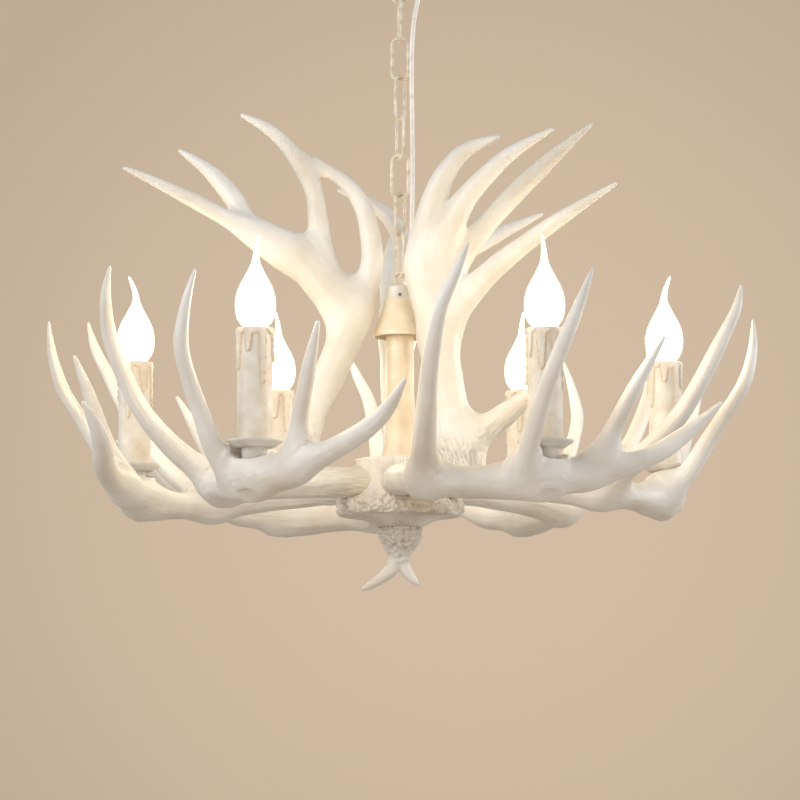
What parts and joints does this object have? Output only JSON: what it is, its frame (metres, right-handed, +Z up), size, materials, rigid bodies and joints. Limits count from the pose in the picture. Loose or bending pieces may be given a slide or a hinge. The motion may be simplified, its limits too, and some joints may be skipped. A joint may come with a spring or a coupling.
{
  "type": "antler chandelier",
  "caption": "Chain-hung ceiling chandelier of white cast antlers round a column and hub, carrying candle-style lamps with drip pans and flame-tip bulbs.",
  "frame": {"origin": "middle of the canopy's and mounting bar's top plane, where they meet the ceiling", "axes": "+Z up into the ceiling, +X towards the light at the right in the picture, +Y away from the camera"},
  "size_m": [0.661, 0.644, 0.6089],
  "materials": {
    "antler_resin": "satin off-white cast resin with faint lengthwise grooves and barky bases",
    "cream_resin": "satin cream resin",
    "painted_chain": "cream paint, a little chipped",
    "painted_metal_white": "satin white paint",
    "steel": "plated, dull",
    "cable": "smooth translucent white jacket",
    "white_plastic": "moulded white",
    "candle_wax_plastic": "satin cream with raised wax runs",
    "lit_glass": "frosted, lit",
    "bulb_brass": "bright screw cap"
  },
  "bodies": {
    "canopy": {"canopy": "painted_metal_white", "mounting_bar": "steel", "ceiling_hook": "painted_chain", "hook_nuts": "steel", "cable_grip": "white_plastic", "terminal_block": "white_plastic", "supply_cable": "cable"},
    "link_1": {"chain_link_1": "painted_chain"},
    "link_2": {"chain_link_2": "painted_chain"},
    "link_3": {"chain_link_3": "painted_chain"},
    "link_4": {"chain_link_4": "painted_chain"},
    "link_5": {"chain_link_5": "painted_chain"},
    "link_6": {"chain_link_6": "painted_chain"},
    "link_7": {"chain_link_7": "painted_chain"},
    "lamp": {"hanging_loop": "painted_chain", "top_collar": "painted_chain", "grub_screw": "steel", "column_cap": "cream_resin", "column": "cream_resin", "tie_rod": "steel", "hub": "antler_resin", "hub_nuts": "steel", "finial": "antler_resin", "lower_antler_1": "antler_resin", "lower_antler_2": "antler_resin", "lower_antler_3": "antler_resin", "lower_antler_4": "antler_resin", "lower_antler_5": "antler_resin", "lower_antler_6": "antler_resin", "upper_antler_1": "antler_resin", "upper_antler_2": "antler_resin", "upper_antler_3": "antler_resin", "antler_screws": "steel", "drip_pan_1": "painted_metal_white", "drip_pan_2": "painted_metal_white", "drip_pan_3": "painted_metal_white", "drip_pan_4": "painted_metal_white", "drip_pan_5": "painted_metal_white", "drip_pan_6": "painted_metal_white", "candle_sleeve_1": "candle_wax_plastic", "candle_sleeve_2": "candle_wax_plastic", "candle_sleeve_3": "candle_wax_plastic", "candle_sleeve_4": "candle_wax_plastic", "candle_sleeve_5": "candle_wax_plastic", "candle_sleeve_6": "candle_wax_plastic", "lampholders": "white_plastic", "candle_tubes": "steel"},
    "bulb_1": {"bulb_cap_1": "bulb_brass", "bulb_glass_1": "lit_glass"},
    "bulb_2": {"bulb_cap_2": "bulb_brass", "bulb_glass_2": "lit_glass"},
    "bulb_3": {"bulb_cap_3": "bulb_brass", "bulb_glass_3": "lit_glass"},
    "bulb_4": {"bulb_cap_4": "bulb_brass", "bulb_glass_4": "lit_glass"},
    "bulb_5": {"bulb_cap_5": "bulb_brass", "bulb_glass_5": "lit_glass"},
    "bulb_6": {"bulb_cap_6": "bulb_brass", "bulb_glass_6": "lit_glass"}
  },
  "joints": [
    {"name": "swing_link_1", "type": "hinge", "parent": "canopy", "child": "link_1", "pos_m": [0, 0, -0.054], "axis": [0.9903, 0.1392, 0], "range_deg": [-12, 12], "deforming": ["supply_cable"]},
    {"name": "swing_link_2", "type": "hinge", "parent": "link_1", "child": "link_2", "pos_m": [0, 0, -0.0914], "axis": [-0.1392, 0.9903, 0], "range_deg": [-12, 12]},
    {"name": "swing_link_3", "type": "hinge", "parent": "link_2", "child": "link_3", "pos_m": [0, 0, -0.1288], "axis": [1, 0, 0], "range_deg": [-12, 12]},
    {"name": "swing_link_4", "type": "hinge", "parent": "link_3", "child": "link_4", "pos_m": [0, 0, -0.1662], "axis": [0.5592, 0.829, 0], "range_deg": [-12, 12]},
    {"name": "swing_link_5", "type": "hinge", "parent": "link_4", "child": "link_5", "pos_m": [0, 0, -0.2036], "axis": [-0.4384, 0.8988, 0], "range_deg": [-12, 12]},
    {"name": "swing_link_6", "type": "hinge", "parent": "link_5", "child": "link_6", "pos_m": [0, 0, -0.241], "axis": [-0.9994, 0.0349, 0], "range_deg": [-12, 12]},
    {"name": "swing_link_7", "type": "hinge", "parent": "link_6", "child": "link_7", "pos_m": [0, 0, -0.2784], "axis": [-0.5446, -0.8387, 0], "range_deg": [-12, 12]},
    {"name": "swing_lamp", "type": "hinge", "parent": "link_7", "child": "lamp", "pos_m": [0, 0, -0.3158], "axis": [0.4695, -0.8829, 0], "range_deg": [-7, 7]},
    {"name": "unscrew_bulb_1", "type": "hinge", "parent": "lamp", "child": "bulb_1", "pos_m": [0.246, 0, -0.42], "axis": [0, 0, 1], "range_deg": [0, 1080]},
    {"name": "unscrew_bulb_2", "type": "hinge", "parent": "lamp", "child": "bulb_2", "pos_m": [0.123, 0.21304, -0.42], "axis": [0, 0, 1], "range_deg": [0, 1080]},
    {"name": "unscrew_bulb_3", "type": "hinge", "parent": "lamp", "child": "bulb_3", "pos_m": [-0.123, 0.21304, -0.42], "axis": [0, 0, 1], "range_deg": [0, 1080]},
    {"name": "unscrew_bulb_4", "type": "hinge", "parent": "lamp", "child": "bulb_4", "pos_m": [-0.246, 0, -0.42], "axis": [0, 0, 1], "range_deg": [0, 1080]},
    {"name": "unscrew_bulb_5", "type": "hinge", "parent": "lamp", "child": "bulb_5", "pos_m": [-0.123, -0.21304, -0.42], "axis": [0, 0, 1], "range_deg": [0, 1080]},
    {"name": "unscrew_bulb_6", "type": "hinge", "parent": "lamp", "child": "bulb_6", "pos_m": [0.123, -0.21304, -0.42], "axis": [0, 0, 1], "range_deg": [0, 1080]}
  ]
}
